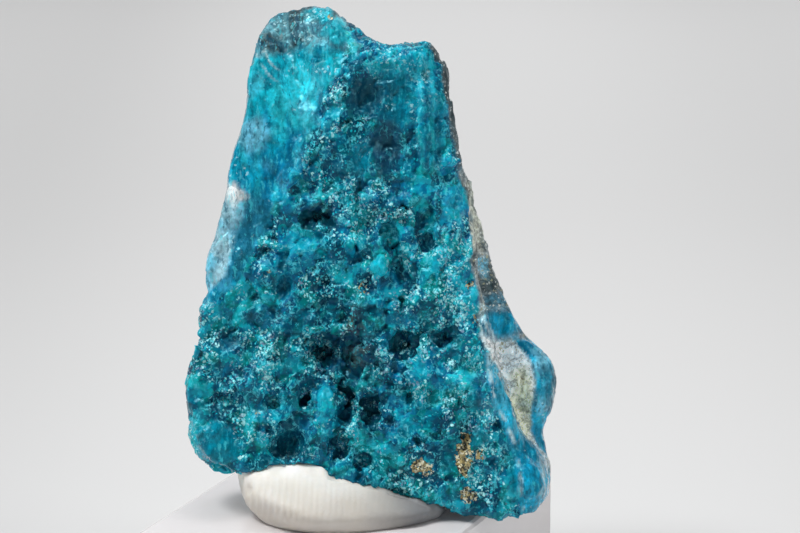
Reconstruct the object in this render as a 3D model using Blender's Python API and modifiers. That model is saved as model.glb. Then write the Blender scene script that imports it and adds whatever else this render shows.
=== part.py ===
"""Chrysocolla specimen: a broken piece of blue-green vein with a seam of host rock, held upright by a lump of
display putty on a clear acrylic block.

Run with: blender --background --python part.py

Metres, +Z up. The origin is the middle of the block's underside. The stone's rough front faces -Y, and the block
stands turned under it. Lengths below are in millimetres, and MM turns them into metres.

The stone is shaped lying on its back: X across, Y up its front, Z out of its front. Its foot, where X and Y are
both 0, lies near its lowest point. It's then stood up, leaning back by LEAN.
"""

import math

import bmesh
import bpy
from mathutils import Matrix, Vector, bvhtree, noise

MM = 0.001

# Block
BLOCK_LENGTH = 32.0
BLOCK_WIDTH = 22.6
BLOCK_HEIGHT = 10.0
BLOCK_EDGE = 0.4
BLOCK_TURN = math.radians(-21.1)  # about +Z, against the stone's front

# Stone
STONE_AT = (1.8, -7.3)  # where its foot stands, from the block's middle
LEAN = math.radians(12.4)
TOUCH = 0.3  # clear gap between pieces that touch
SPLAY = 0.004  # how much wider the sides are for each millimetre further back
SPLAY_MIDDLE = (2.25, 19.2)
FORM_VOXEL = 0.36
STONE_TRIANGLES = 8600

# Putty
PUTTY_MIDDLE = (-2.0, 3.4)  # from the stone's foot
PUTTY_REACH = (8.6, 6.9, 3.5)  # half width, half depth, height
PUTTY_TILT = 0.45  # how much taller its left end is than its middle
PUTTY_SQUASH = 0.62  # share of the height above its widest level
PUTTY_SUBDIVISIONS = 4
PRESS_REACH = 0.5  # how far around each point of the putty the stone holds it down

# The outline of the stone's front: across, up
BASE_LINE = [
    (11.7, 0.3), (9.0, 0.0), (7.5, 0.1), (6.4, 0.75), (5.25, 1.3), (2.3, 1.95), (1.1, 2.35), (0.0, 2.8),
    (-1.9, 2.9), (-3.0, 3.4), (-4.1, 4.0), (-5.25, 4.25), (-6.75, 4.2), (-8.25, 3.8), (-9.4, 3.5), (-9.9, 3.2),
]
LEFT_LINE = [
    (-10.3, 3.8), (-11.2, 4.1), (-12.3, 5.0), (-12.9, 6.4), (-13.4, 8.0), (-13.8, 8.7), (-13.85, 10.8),
    (-13.5, 11.9), (-12.9, 13.2), (-12.75, 15.0), (-12.4, 16.5), (-12.0, 17.3), (-12.45, 18.0), (-12.2, 19.6),
    (-11.9, 20.8), (-11.3, 22.6), (-10.8, 24.4), (-10.4, 27.0), (-10.1, 28.3), (-9.6, 29.6), (-9.25, 31.2),
    (-9.1, 33.4), (-8.6, 35.2), (-8.2, 36.8),
]
TOP_LINE = [
    (-7.6, 37.7), (-6.9, 38.3), (-5.4, 38.6), (-4.1, 38.9), (-3.0, 38.6), (-2.25, 37.9), (-1.9, 37.5),
    (-0.8, 37.3), (-0.3, 36.6), (0.4, 36.3), (1.0, 35.8), (1.9, 35.9), (2.6, 36.1), (3.3, 35.8), (4.4, 36.2),
]
FRONT_RIGHT_LINE = [
    (5.2, 35.7), (5.6, 34.6), (5.8, 33.1), (6.0, 31.6), (6.35, 29.8), (6.7, 27.9), (7.05, 26.0), (7.5, 24.1),
    (7.7, 22.6), (7.95, 21.1), (8.1, 19.6), (8.25, 18.1), (8.5, 16.6), (8.8, 15.1), (9.1, 13.8), (9.5, 12.0),
    (10.1, 10.4), (10.6, 9.0), (10.95, 7.6), (11.6, 6.5), (12.4, 5.7), (13.1, 4.6), (13.4, 3.3), (13.3, 2.1),
    (12.6, 1.0),
]
REAR_RIGHT_LINE = [
    (4.9, 36.0), (5.4, 35.4), (5.9, 34.0), (6.2, 32.2), (6.4, 30.5), (6.7, 29.2), (7.2, 27.0), (7.6, 25.5),
    (8.0, 23.5), (8.55, 21.7), (9.1, 19.9), (9.8, 17.4), (10.65, 15.5), (11.3, 14.2), (12.8, 12.9), (13.7, 12.1),
    (14.1, 10.9), (13.9, 9.2), (13.3, 8.1), (12.9, 6.9), (13.1, 5.9), (13.5, 4.0), (13.3, 2.2), (12.6, 1.0),
]

# How far out of the front plane each mass starts and ends, before the fracture planes cut it
FRONT_MASS_REACH = (-9.0, 5.0)
REAR_MASS_REACH = (-15.0, 0.0)

# Fracture planes: a point on each, and the way it faces
FRONT_FRACTURES = {
    "front": ((0.0, 10.0, 0.1), (-0.02, -0.06, 1.0)),
    "front_left": ((-6.0, 12.0, 0.1), (-0.20, -0.05, 1.0)),
    "left_facet": ((-4.9, 28.5, 0.6), (-0.66, 0.29, 1.0)),
    "left_bevel": ((-9.9, 22.8, -1.0), (-1.7, 0.28, 1.0)),
    "cap": ((-5.0, 35.5, 0.9), (-0.10, 0.80, 1.0)),
    "cap_left": ((-6.6, 35.4, 0.0), (-1.0, 0.55, 1.0)),
    "shoulder": ((1.5, 35.1, 1.4), (0.05, 0.90, 1.0)),
    "right_brow": ((5.2, 27.0, 0.8), (0.50, 0.09, 1.0)),
    "rib": ((9.3, 9.5, 0.0), (0.85, 0.02, 1.0)),
    "toe": ((10.6, 3.4, -0.4), (0.55, -0.25, 1.0)),
    "foot": ((9.0, 1.2, 0.0), (-0.12, -0.60, 1.0)),
    "left_foot": ((-11.2, 5.4, -1.0), (-0.55, -0.60, 1.0)),
}
REAR_FRACTURES = {
    "seam": ((8.0, 22.0, -2.0), (0.30, -0.14, 1.0)),
    "seam_edge": ((10.6, 15.6, -3.8), (0.80, 0.60, 1.0)),
}
BACK_FRACTURES = {
    "back": ((0.0, 8.0, -11.5), (0.03, 0.20, -1.0)),
    "back_high": ((0.0, 28.0, -8.0), (0.12, 0.50, -1.0)),
    "back_left": ((-10.0, 12.0, -8.0), (-0.85, 0.05, -0.70)),
    "back_right": ((10.8, 10.0, -10.0), (0.75, 0.12, -1.0)),
    "underside": ((9.0, 0.0, -1.5), (-0.19, -0.93, -0.33)),
}

# Lumps grown on the masses: the middle, then the half sizes
LUMPS = {
    "right_lump": ((12.5, 10.2, -6.2), (1.6, 3.0, 2.6)),
    "toe": ((11.0, 2.7, -2.6), (2.3, 2.6, 2.2)),
    "left_lobe": ((-10.9, 7.6, -3.2), (2.8, 3.9, 3.0)),
    "left_knuckle": ((-11.7, 15.0, -2.8), (1.1, 1.9, 1.9)),
    "cap_knob": ((-2.4, 36.6, -0.3), (0.8, 1.2, 1.0)),
    "shoulder_knob": ((4.3, 35.3, -0.3), (0.8, 0.9, 1.1)),
}

# Hollows in the front: across, up, half width, half height, depth
HOLLOWS = [
    (-3.9, 22.8, 1.35, 0.7, 1.9), (-0.1, 32.0, 1.2, 1.5, 0.9), (1.2, 28.1, 1.1, 1.9, 0.9),
    (-0.6, 27.4, 0.8, 1.2, 0.6), (2.6, 23.7, 0.5, 0.5, 1.3), (4.2, 22.9, 0.45, 1.3, 1.2),
    (1.5, 21.3, 0.6, 1.0, 1.3), (-1.1, 20.7, 0.4, 0.5, 1.0), (4.3, 21.1, 0.6, 0.8, 1.1),
    (2.4, 19.4, 0.8, 1.6, 1.4), (-6.4, 17.6, 0.9, 1.3, 0.8), (-3.4, 12.8, 1.4, 1.0, 2.2),
    (-1.4, 12.3, 0.7, 1.5, 1.4), (2.7, 13.4, 0.9, 1.0, 2.0), (5.8, 13.9, 0.8, 0.7, 1.7),
    (-4.8, 9.5, 0.45, 1.1, 1.5), (-1.7, 9.0, 0.5, 1.6, 1.5), (0.1, 8.2, 0.7, 1.3, 1.7),
    (2.9, 9.6, 0.7, 1.2, 1.1), (-6.3, 5.9, 1.3, 1.3, 1.8), (-2.4, 5.5, 0.7, 1.1, 1.2),
    (-0.6, 4.4, 0.6, 0.8, 1.1), (3.8, 5.9, 0.55, 0.55, 1.2), (-10.6, 13.7, 0.8, 0.8, 0.7),
    (7.2, 5.8, 0.4, 0.7, 0.9), (-2.0, 15.5, 0.5, 0.8, 0.8), (-7.2, 8.9, 0.6, 0.5, 0.9),
]

# Knobs standing from the front: across, up, half width, half height, height
KNOBS = [
    (0.8, 19.3, 0.95, 1.1, 0.9), (-3.6, 8.9, 0.85, 1.6, 0.9), (-1.3, 7.1, 0.7, 1.0, 0.7),
    (5.8, 10.6, 1.0, 1.0, 0.6), (7.6, 9.1, 0.9, 0.8, 0.5), (8.2, 6.3, 0.8, 0.8, 0.5),
    (5.6, 21.2, 1.0, 1.4, 0.4), (-7.6, 12.2, 1.0, 1.3, 0.5), (-4.3, 14.8, 1.0, 0.9, 0.5),
    (4.4, 16.6, 1.3, 1.1, 0.6), (1.6, 16.0, 0.9, 0.8, 0.4), (-7.8, 19.6, 1.1, 1.2, 0.4),
    (0.4, 24.4, 0.9, 0.6, 0.5), (-9.8, 10.2, 1.1, 1.0, 0.5), (1.6, 6.4, 0.9, 0.9, 0.5),
    (4.7, 3.4, 1.1, 0.8, 0.5), (-5.6, 11.0, 0.8, 0.9, 0.5), (-0.6, 25.0, 0.6, 0.9, 0.4),
]

# Ridges running down the front: two ends, half width, height
RIDGES = [
    ((3.9, 34.6), (4.5, 26.0), 0.45, 0.45), ((5.1, 33.5), (6.0, 27.0), 0.40, 0.30),
    ((8.3, 15.0), (9.3, 10.0), 0.55, 0.40), ((9.3, 10.0), (12.0, 2.5), 0.95, 0.45),
    ((-2.4, 33.8), (-2.2, 30.0), 0.55, 0.55), ((-5.2, 35.2), (-2.4, 35.6), 0.45, 0.45),
]

# The glassy left facet is where up is above FACET_FOOT and across is left of a line that leans with it
FACET_FOOT = 17.0
FACET_EDGE = ((-1.9, 35.4), (-11.9, 17.0))
RIB_EDGE = ((8.1, 16.6), (11.0, 3.2))

# The smoother dark pools high on the right: middle, then half sizes
POOLS = (1.8, 29.5, 4.6, 7.0)


def plain_material(name, colour, roughness, **inputs):
    """A plain Principled material."""
    material = bpy.data.materials.new(name)
    material.use_nodes = True
    shader = material.node_tree.nodes["Principled BSDF"]
    shader.inputs["Base Color"].default_value = (*colour, 1.0)
    shader.inputs["Roughness"].default_value = roughness
    for key, value in inputs.items():
        shader.inputs[key.replace("_", " ")].default_value = value
    return material


def add_object(name, mesh, collection, material):
    """Links a new object for mesh and gives it its material."""
    obj = bpy.data.objects.new(name, mesh)
    collection.objects.link(obj)
    mesh.materials.append(material)
    return obj


def baked_mesh(obj):
    """The object's mesh as its modifiers leave it."""
    graph = bpy.context.evaluated_depsgraph_get()
    return bpy.data.meshes.new_from_object(obj.evaluated_get(graph))


def fracture(bm, point, facing):
    """Breaks away everything beyond a plane and closes the new face."""
    geometry = bm.verts[:] + bm.edges[:] + bm.faces[:]
    bmesh.ops.bisect_plane(
        bm, geom=geometry, dist=1e-7, plane_co=point, plane_no=facing, clear_outer=True
    )
    open_edges = [edge for edge in bm.edges if edge.is_boundary]
    closed = bmesh.ops.holes_fill(bm, edges=open_edges, sides=0)
    bmesh.ops.triangulate(bm, faces=closed["faces"])


def add_mass(bm, outline, reach, fractures):
    """Adds a slab of the outline from one depth to another, broken by its fracture planes."""
    back, front = reach
    curve = bpy.data.curves.new("outline", "CURVE")
    curve.dimensions = "2D"
    curve.fill_mode = "BOTH"
    curve.extrude = (front - back) / 2 * MM
    spline = curve.splines.new("POLY")
    spline.points.add(len(outline) - 1)
    for point, (across, up) in zip(spline.points, outline):
        point.co = (across * MM, up * MM, 0.0, 1.0)
    spline.use_cyclic_u = True
    drawn = bpy.data.objects.new("outline", curve)
    bpy.context.scene.collection.objects.link(drawn)
    mesh = baked_mesh(drawn)
    bpy.data.objects.remove(drawn)
    mass = bmesh.new()
    mass.from_mesh(mesh)
    bmesh.ops.translate(mass, verts=mass.verts, vec=(0.0, 0.0, (back + front) / 2 * MM))
    bmesh.ops.remove_doubles(mass, verts=mass.verts, dist=0.001 * MM)
    for point, facing in fractures.values():
        fracture(mass, Vector(point) * MM, Vector(facing))
    bmesh.ops.recalc_face_normals(mass, faces=mass.faces)
    mass.to_mesh(mesh)
    mass.free()
    bm.from_mesh(mesh)
    bpy.data.meshes.remove(mesh)


def add_lump(bm, middle, half):
    """Adds an egg-shaped lump."""
    place = Matrix.Translation(Vector(middle) * MM) @ Matrix.Diagonal((*(Vector(half) * MM), 1.0))
    bmesh.ops.create_icosphere(bm, subdivisions=3, radius=1.0, matrix=place)


def smooth_step(low, high, value):
    """0 below low, 1 above high, and a smooth curve between."""
    share = min(max((value - low) / (high - low), 0.0), 1.0)
    return share * share * (3.0 - 2.0 * share)


def dome(distance):
    """1 at the middle of a feature, falling smoothly to 0 at its rim."""
    return max(0.0, 1.0 - distance * distance) ** 2


def side_of(line, across, up):
    """How far right of a line that runs up the front a point is."""
    (x1, y1), (x2, y2) = line
    length = math.hypot(x2 - x1, y2 - y1)
    return abs(y2 - y1) / length * (across - x1 - (x2 - x1) * (up - y1) / (y2 - y1))


def rough_share(across, up, facing):
    """1 on the crusty front, less on the glassy left facet and the smooth rib at the lower right."""
    left_of_edge = smooth_step(0.3, -0.8, side_of(FACET_EDGE, across, up))
    on_facet = smooth_step(FACET_FOOT, FACET_FOOT + 2.5, up) * left_of_edge
    on_rib = smooth_step(0.1, 0.9, side_of(RIB_EDGE, across, up)) * smooth_step(17.5, 14.5, up)
    in_pools = dome(math.hypot((across - POOLS[0]) / POOLS[2], (up - POOLS[1]) / POOLS[3]))
    front = smooth_step(0.1, 0.6, facing)
    return front * (1.0 - max(0.88 * on_facet, 0.88 * on_rib, 0.6 * in_pools))


def distance_to_line(point, start, end):
    """How far a point of the front is from a straight stretch."""
    along = end - start
    share = min(max((point - start).dot(along) / along.length_squared, 0.0), 1.0)
    return (point - start - along * share).length


def front_relief(across, up):
    """Height of the front's own features there, in millimetres."""
    height = 0.0
    for middle_x, middle_y, half_x, half_y, deep in HOLLOWS:
        distance = math.hypot((across - middle_x) / half_x, (up - middle_y) / half_y) / 1.3
        height -= deep * dome(distance)
    for middle_x, middle_y, half_x, half_y, tall in KNOBS:
        distance = math.hypot((across - middle_x) / half_x, (up - middle_y) / half_y) / 1.3
        height += tall * dome(distance)
    here = Vector((across, up))
    for start, end, half, tall in RIDGES:
        height += tall * dome(distance_to_line(here, Vector(start), Vector(end)) / half / 1.3)
    return height


def crust_height(point):
    """Blocky lumps about 3, 1.6 and 0.9 mm across, and a broad swell, in millimetres of height."""
    blocks = 0.5 - noise.voronoi(point * 0.33 + Vector((2.1, 5.2, 0.7)))[0][0]
    lumps = 0.5 - noise.voronoi(point * 0.62)[0][0]
    grains = 0.45 - noise.voronoi(point * 1.15 + Vector((7.3, 1.9, 4.1)))[0][0]
    swell = noise.fractal(point * 0.18, 1.0, 2.0, 3)
    return 0.75 * blocks + 0.60 * lumps + 0.42 * grains, swell


def sculpt(mesh):
    """Moves each point of the fused stone by its crust, its hollows, knobs and ridges, and splays the sides."""
    normals = [vertex.normal.copy() for vertex in mesh.vertices]
    for vertex, normal in zip(mesh.vertices, normals):
        point = vertex.co / MM
        rough = rough_share(point.x, point.y, normal.z)
        crust, swell = crust_height(point)
        behind = smooth_step(0.1, 0.6, -normal.z)
        level = smooth_step(0.9, 0.3, abs(normal.z))
        along_normal = swell * (0.35 * behind + 0.12) + crust * (0.85 * rough + 0.5 * behind)
        along_normal += 0.22 * crust * level
        relief = front_relief(point.x, point.y) * smooth_step(0.25, 0.6, normal.z)
        moved = point + normal * along_normal + Vector((0.0, 0.0, relief))
        moved.x += (moved.x - SPLAY_MIDDLE[0]) * -moved.z * SPLAY
        moved.y += (moved.y - SPLAY_MIDDLE[1]) * -moved.z * SPLAY
        vertex.co = moved * MM


def make_stone(collection, material):
    """The stone: two masses of vein broken by fracture planes, fused with their lumps, then sculpted."""
    bm = bmesh.new()
    shared = BASE_LINE + LEFT_LINE + TOP_LINE
    front_planes = {**FRONT_FRACTURES, **BACK_FRACTURES}
    rear_planes = {**REAR_FRACTURES, **BACK_FRACTURES}
    add_mass(bm, shared + FRONT_RIGHT_LINE, FRONT_MASS_REACH, front_planes)
    add_mass(bm, shared + REAR_RIGHT_LINE, REAR_MASS_REACH, rear_planes)
    for middle, half in LUMPS.values():
        add_lump(bm, middle, half)
    form = bpy.data.meshes.new("stone_form")
    bm.to_mesh(form)
    bm.free()
    fused = add_object("stone_form", form, collection, material)
    remesh = fused.modifiers.new("fuse", "REMESH")
    remesh.mode = "VOXEL"
    remesh.voxel_size = FORM_VOXEL * MM
    ease = fused.modifiers.new("ease", "SMOOTH")
    ease.factor = 0.5
    ease.iterations = 2
    mesh = baked_mesh(fused)
    bpy.data.objects.remove(fused)
    sculpt(mesh)
    stand_up = Matrix.Rotation(math.pi / 2 - LEAN, 4, "X")
    foot = Vector((STONE_AT[0] * MM, STONE_AT[1] * MM, (BLOCK_HEIGHT + TOUCH) * MM))
    mesh.transform(Matrix.Translation(foot) @ stand_up)
    for vertex in mesh.vertices:
        vertex.co.z = max(vertex.co.z, foot.z)
    stone = add_object("chrysocolla_stone", mesh, collection, material)
    reduce = stone.modifiers.new("reduce", "DECIMATE")
    reduce.ratio = STONE_TRIANGLES / (2 * len(mesh.polygons))
    return stone


def make_block(collection, material):
    """The block, turned under the stone."""
    bpy.ops.mesh.primitive_cube_add(size=1.0, location=(0.0, 0.0, BLOCK_HEIGHT / 2 * MM))
    block = bpy.context.active_object
    block.name = "acrylic_block"
    for holder in block.users_collection:
        holder.objects.unlink(block)
    collection.objects.link(block)
    size = (BLOCK_WIDTH * MM, BLOCK_LENGTH * MM, BLOCK_HEIGHT * MM, 1.0)
    block.data.transform(Matrix.Diagonal(size))
    block.rotation_euler.z = BLOCK_TURN
    edge = block.modifiers.new("edge", "BEVEL")
    edge.width = BLOCK_EDGE * MM
    edge.segments = 2
    block.data.materials.append(material)
    return block


def height_left(place, stone_tree, floor):
    """How high the stone lets the putty rise there: just under the lowest stone within PRESS_REACH."""
    highest = place.z
    steps = [PRESS_REACH * MM * share for share in (-1.0, -0.5, 0.0, 0.5, 1.0)]
    for step_x in steps:
        for step_y in steps:
            start = Vector((place.x + step_x, place.y + step_y, floor - TOUCH * MM))
            stone_above = stone_tree.ray_cast(start, Vector((0.0, 0.0, 1.0)))[0]
            if stone_above is not None:
                highest = min(highest, stone_above.z - TOUCH * MM)
    return max(highest, floor)


def make_putty(collection, material, stone):
    """The putty: a lump flattened on the block and pressed down by the stone wherever the stone is above it."""
    graph = bpy.context.evaluated_depsgraph_get()
    stone_tree = bvhtree.BVHTree.FromObject(stone, graph)
    top_of_block = BLOCK_HEIGHT * MM
    floor = top_of_block + TOUCH * MM
    half_x, half_y, height = (reach * MM for reach in PUTTY_REACH)
    middle_x = (STONE_AT[0] + PUTTY_MIDDLE[0]) * MM
    middle_y = (STONE_AT[1] + PUTTY_MIDDLE[1]) * MM
    bm = bmesh.new()
    bmesh.ops.create_icosphere(bm, subdivisions=PUTTY_SUBDIVISIONS, radius=1.0)
    for vertex in bm.verts:
        across, deep, tall = vertex.co * (1.0 + 0.07 * noise.noise(vertex.co * 1.7))
        lift = (tall * PUTTY_SQUASH + 1.0 - PUTTY_SQUASH) * height * (1.0 - PUTTY_TILT * across)
        place = Vector((middle_x + across * half_x, middle_y + deep * half_y, top_of_block + lift))
        place.z = height_left(place, stone_tree, floor)
        vertex.co = place
    bmesh.ops.recalc_face_normals(bm, faces=bm.faces)
    mesh = bpy.data.meshes.new("display_putty")
    bm.to_mesh(mesh)
    bm.free()
    return add_object("display_putty", mesh, collection, material)


def main():
    """Clears the scene and builds the specimen."""
    for obj in list(bpy.data.objects):
        bpy.data.objects.remove(obj)
    collection = bpy.data.collections.new("chrysocolla_specimen")
    bpy.context.scene.collection.children.link(collection)
    teal = plain_material("chrysocolla", (0.01, 0.19, 0.24), 0.35, Subsurface_Weight=0.2)
    clear = plain_material("clear_acrylic", (0.95, 0.90, 0.91), 0.03, Transmission_Weight=1.0, IOR=1.49)
    white = plain_material("white_putty", (0.80, 0.78, 0.72), 0.6)
    make_block(collection, clear)
    stone = make_stone(collection, teal)
    make_putty(collection, white, stone)


main()
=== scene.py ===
"""Looks of the chrysocolla specimen: the stone, its putty and its clear block, on a pale floor.

Lengths are in millimetres, turned into metres by MM. Features of the stone's front are placed in pixels of an
800 by 533 view, which is the camera's own view of the stone. A spot is an oval in that view: its middle across
and down, its half width and its half height. Noise offsets only choose a part of the noise.
"""

import math

import bpy
import numpy as np
from mathutils import Matrix, Vector, bvhtree, noise

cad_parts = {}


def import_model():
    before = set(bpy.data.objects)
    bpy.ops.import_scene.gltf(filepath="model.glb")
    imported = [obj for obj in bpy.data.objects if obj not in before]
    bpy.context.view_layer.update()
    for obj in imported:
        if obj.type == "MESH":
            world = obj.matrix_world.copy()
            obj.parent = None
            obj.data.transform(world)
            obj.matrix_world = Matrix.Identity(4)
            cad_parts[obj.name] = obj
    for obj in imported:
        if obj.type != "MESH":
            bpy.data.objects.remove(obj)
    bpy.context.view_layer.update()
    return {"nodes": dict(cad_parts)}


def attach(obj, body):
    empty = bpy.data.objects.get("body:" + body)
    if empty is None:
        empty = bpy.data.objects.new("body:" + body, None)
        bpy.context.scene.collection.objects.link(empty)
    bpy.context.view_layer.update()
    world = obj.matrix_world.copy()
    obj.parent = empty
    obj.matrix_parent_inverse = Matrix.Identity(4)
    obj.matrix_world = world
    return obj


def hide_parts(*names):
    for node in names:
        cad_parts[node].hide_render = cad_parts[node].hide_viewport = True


MM = 0.001

# The camera, and the stone's own frame: X across, Y up its front, Z out of its front
LEAN = math.radians(12.4)
FOOT = Vector((1.8, -7.3, 10.3))
VIEW_WIDTH, VIEW_HEIGHT = 800, 533
FOCAL_PIXELS = 3333.0
DISTANCE = 250.0
VIEW_MIDDLE = (2.25, 19.16)
PIXEL = 0.075
SENSOR = 36.0

# Meshes
STONE_VOXEL, STONE_SMOOTHING = 0.195, 4
PUTTY_VOXEL, PUTTY_SMOOTHING = 0.2, 5
BLOCK_TOP = 10.0
FLOOR_REACH = 5.0
FLOOR_GAP = 0.02

# The stone's relief in millimetres, from broken crystals of three sizes, in cells per millimetre
BIG_CELLS, MIDDLE_CELLS, SMALL_CELLS = 0.5, 1.05, 2.3
CRUST_BIG, CRUST_MIDDLE, CRUST_SMALL, GRIT_SMALL = 0.38, 0.25, 0.06, 0.09
CELL_BIG, CELL_MIDDLE, CRUST_SINK = 0.04, 0.06, 0.12
FACE_RIPPLE, FACE_BIG, FACE_MIDDLE, FACE_SMALL = 0.10, 0.13, 0.06, 0.03
CAP_BIG, CAP_MIDDLE = 0.16, 0.10
PIT_FROM, PIT_MIDDLE, PIT_SMALL, PIT_DEPTH = 0.35, 0.7, 0.4, 0.30
LIGHT_LIFT = 0.12
ARC_HEIGHT, ARC_GAP, ARC_MIDDLE, ARC_SPOT = 0.06, 3.4, (318, 28), (275, 62, 24, 26)
STRIPE_HEIGHT, STRIPE_GAP, STRIPE_SPOT = 0.08, 1.9, (428, 130, 16, 62)
RISE_ROUNDS, RISE_UNIT = 25, 0.16

# The putty, in millimetres: how it meets the stone, leans back and narrows, and its pressed ridges in pixels
PUTTY_LIFT, PUTTY_OVERLAP = 2.6, 0.3
PUTTY_TUCK, TUCK_ROUNDS = 1.7, 40
PUTTY_NARROWING = 1.0
RIDGE_PITCH, RIDGE_HEIGHT = 6.3, 0.045
DENT_HEIGHT, KNEAD_HEIGHT, NICK_DEPTH = 0.10, 0.025, 0.25
THUMB, FINGER, NICK = (300, 500, 62, 22), (400, 505, 40, 18), (249, 490, 3, 4)

# Broad colours, in linear light
TEAL = (0.002, 0.265, 0.395)
GREEN_TEAL = (0.003, 0.24, 0.32)
BRIGHT_CYAN = (0.006, 0.48, 0.61)
PALE_CYAN = (0.022, 0.6, 0.73)
BLUE = (0.003, 0.34, 0.57)
DEEP_BLUE = (0.002, 0.19, 0.37)
NAVY = (0.003, 0.08, 0.16)
PURPLE_NAVY = (0.012, 0.055, 0.125)
SLATE_BLUE = (0.02, 0.215, 0.34)
LILAC = (0.19, 0.58, 0.78)
RIB_BLUE = (0.012, 0.5, 0.77)
SKY = (0.012, 0.43, 0.65)
SMOKE = (0.14, 0.33, 0.39)
WHITE = (0.9, 0.95, 0.96)
ICE = (0.64, 0.86, 0.9)
CREAM = (0.94, 0.96, 0.74)
PALE_GREY = (0.78, 0.93, 1.0)
SAND_GREY = (0.36, 0.42, 0.44)
BROWN_BLACK = (0.055, 0.08, 0.09)
BROWN = (0.11, 0.06, 0.045)

# Colours of the crust's grains, veins and pools; pale grains, flakes and veins are partly painted glints
CRUST_SHADE = (0.001, 0.03, 0.082)
CRUST_LIGHT = (0.012, 0.62, 0.74)
GRAIN_GAP = (0.002, 0.065, 0.1)
GRAIN_CYAN = (0.012, 0.62, 0.74)
GRAIN_PALE = (0.3, 0.95, 1.0)
GRAIN_WHITE = (0.48, 0.98, 1.0)
GRAIN_LILAC = (0.28, 0.4, 0.56)
FLAKE_CYAN = (0.16, 0.84, 0.92)
FLAKE_WHITE = (0.46, 0.96, 1.0)
VEIN_CYAN = (0.14, 0.8, 0.92)
CHIP_CYAN = (0.08, 0.68, 0.82)
# Partly painted shade in the crust's pits
POOL_BLUE = (0.004, 0.05, 0.14)
POOL_GREEN = (0.004, 0.13, 0.17)

# Colours inside the glassy faces, of the host rock and of the golden crumbs
GLASS_SHADE = (0.002, 0.1, 0.2)
GLASS_WISP = (0.09, 0.6, 0.74)
GLASS_CRACK = (0.34, 0.86, 0.95)
FIBRE_PALE = (0.07, 0.66, 0.78)
FIBRE_DARK = (0.002, 0.1, 0.17)
GLASS_SNOW = (0.5, 0.8, 0.86)
# Partly painted shade in the pits of the glassy faces
GLASS_POOL = (0.004, 0.045, 0.085)
ROCK_SPECK = (0.08, 0.08, 0.08)
ROCK_CHALK = (0.84, 0.9, 0.88)
GOLD_DARK = (0.07, 0.045, 0.02)
GOLD = (0.56, 0.43, 0.17)
GOLD_PALE = (0.92, 0.86, 0.62)
GOLD_IN_ROCK = (0.46, 0.46, 0.3)

# Colours of the putty, the block, the floor and the surround
PUTTY_WARM = (0.93, 0.905, 0.84)
PUTTY_WHITE = (0.98, 0.975, 0.95)
# Painted shade at the putty's foot, which faces down
PUTTY_FOOT_SHADE = (0.5, 0.46, 0.4)
# Painted shading lines along the putty's pressed ridges
PUTTY_RIDGE_SHADE = (0.45, 0.38, 0.3)
# Painted shade on the putty's right end, under the stone's overhang
PUTTY_UNDER_STONE_SHADE = (0.2, 0.205, 0.215)
PUTTY_SMEAR = (0.6, 0.54, 0.45)
BLOCK_BASE = (1.0, 0.964, 0.97)
BLOCK_ABSORPTION = (0.93, 0.72, 0.76)
# The floor's lighter far colour is painted light; its darker sides are painted shade
FLOOR_NEAR = (0.72, 0.72, 0.72)
FLOOR_FAR = (0.85, 0.85, 0.85)
SURROUND = (0.95, 0.97, 1.0)

# Dark spots, with their strength: pits, coloured dark partly as the stone's deep blue and partly as painted
# shade
DARK_SPOTS = [
    (369, 97, 20, 24, 0.95), (318, 217, 18, 10, 1.2), (404, 206, 9, 7, 0.55), (426, 217, 7, 19, 0.6),
    (390, 238, 9, 15, 0.8), (354, 246, 8, 6, 0.5), (427, 241, 9, 11, 0.6), (402, 262, 11, 23, 0.9),
    (284, 288, 12, 18, 0.7), (322, 350, 22, 16, 1.2), (351, 360, 10, 26, 1.1), (403, 344, 17, 15, 1.15),
    (447, 337, 13, 11, 1.1), (306, 396, 8, 16, 1.0), (347, 403, 8, 22, 1.1), (371, 412, 9, 18, 1.1),
    (285, 443, 17, 18, 0.9), (339, 448, 10, 17, 0.9), (362, 463, 9, 11, 0.9), (421, 443, 8, 8, 1.0),
    (408, 394, 9, 17, 0.8), (228, 340, 10, 12, 0.6), (465, 437, 5, 7, 0.7), (300, 330, 14, 10, 0.5),
    (385, 150, 14, 26, 0.7), (255, 325, 16, 12, 0.4), (440, 480, 14, 10, 0.4), (480, 508, 14, 8, 0.5),
    (388, 96, 14, 24, 0.6), (352, 168, 12, 12, 0.5), (286, 276, 14, 22, 0.6), (236, 338, 16, 12, 0.7),
    (410, 305, 14, 14, 0.6), (362, 385, 14, 16, 0.5), (330, 300, 12, 8, 0.5), (250, 372, 14, 8, 0.4),
    (300, 425, 12, 8, 0.4), (445, 318, 12, 6, 0.5), (330, 190, 11, 9, 0.8), (368, 187, 12, 9, 0.8),
    (392, 172, 14, 12, 0.6), (328, 128, 10, 10, 0.5), (250, 308, 12, 9, 0.8), (290, 350, 10, 10, 0.5),
    (370, 330, 10, 9, 0.8), (372, 357, 11, 16, 0.6), (330, 370, 10, 9, 0.6), (268, 428, 12, 8, 0.5),
    (408, 205, 10, 10, 0.5), (388, 56, 14, 14, 0.5), (365, 148, 8, 10, 0.5), (370, 332, 10, 9, 0.5),
    (378, 366, 18, 9, 0.5), (332, 368, 9, 9, 0.4), (366, 331, 9, 15, 1.0), (373, 371, 12, 11, 1.0),
    (248, 310, 9, 9, 0.5), (270, 330, 9, 9, 0.4), (410, 168, 9, 9, 0.5), (449, 128, 8, 14, 0.7),
    (290, 348, 9, 9, 0.4),
]

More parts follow.
